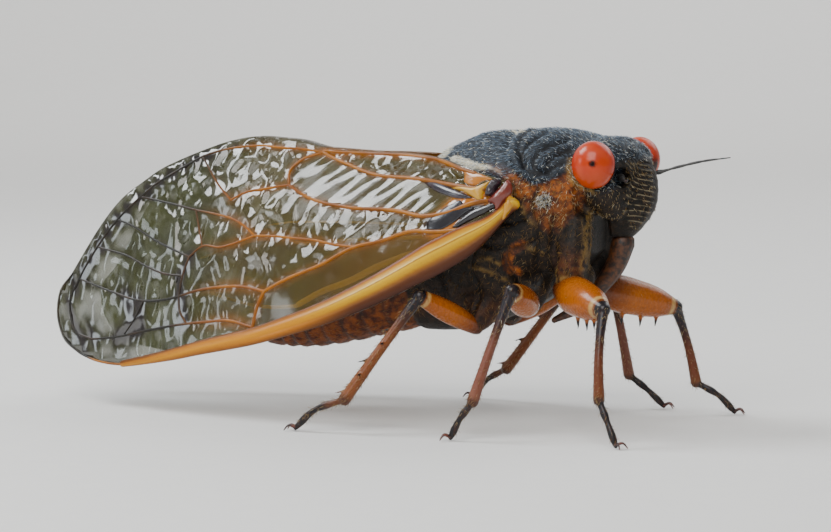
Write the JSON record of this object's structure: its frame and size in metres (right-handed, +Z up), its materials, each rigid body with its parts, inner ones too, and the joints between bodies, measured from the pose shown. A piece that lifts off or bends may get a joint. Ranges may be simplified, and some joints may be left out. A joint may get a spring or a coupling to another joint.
{
  "type": "periodical cicada",
  "caption": "Life-size adult periodical cicada standing still, with bulging eyes, a grooved face, a stout beak and veined wings folded like a roof over the abdomen.",
  "frame": {"origin": "on the floor under the middle of the bounding box, feet standing at z = 0", "axes": "+X towards the head, +Y to the insect's left, +Z up"},
  "size_m": [0.0441, 0.02, 0.0182],
  "materials": {
    "shell_black": "satin blue-black shell with fine down",
    "eye_red": "smooth glossy red-orange eye",
    "leg_orange": "glossy amber thigh",
    "leg_dark": "dark red-brown to blue-black leg",
    "abdomen_brown": "satin brown abdomen",
    "wing_membrane": "clear smoky membrane with amber veins"
  },
  "bodies": {
    "root": {"pronotum": "shell_black", "mesonotum": "shell_black", "thorax": "shell_black", "head": "shell_black", "face": "shell_black", "beak": "shell_black", "eye_right": "eye_red", "feeler_right": "shell_black", "eye_left": "eye_red", "feeler_left": "shell_black", "abdomen": "abdomen_brown", "abdomen_tip": "abdomen_brown", "forewing_right": "wing_membrane", "hindwing_right": "wing_membrane", "forewing_left": "wing_membrane", "hindwing_left": "wing_membrane", "front_coxa_right": "leg_dark", "front_femur_right": "leg_orange", "front_shin_right": "leg_dark", "front_foot_right": "leg_dark", "mid_coxa_right": "leg_dark", "mid_femur_right": "leg_orange", "mid_shin_right": "leg_dark", "mid_foot_right": "leg_dark", "hind_coxa_right": "leg_dark", "hind_femur_right": "leg_orange", "hind_shin_right": "leg_dark", "hind_foot_right": "leg_dark", "front_coxa_left": "leg_dark", "front_femur_left": "leg_orange", "front_shin_left": "leg_dark", "front_foot_left": "leg_dark", "mid_coxa_left": "leg_dark", "mid_femur_left": "leg_orange", "mid_shin_left": "leg_dark", "mid_foot_left": "leg_dark", "hind_coxa_left": "leg_dark", "hind_femur_left": "leg_orange", "hind_shin_left": "leg_dark", "hind_foot_left": "leg_dark"}
  },
  "joints": []
}
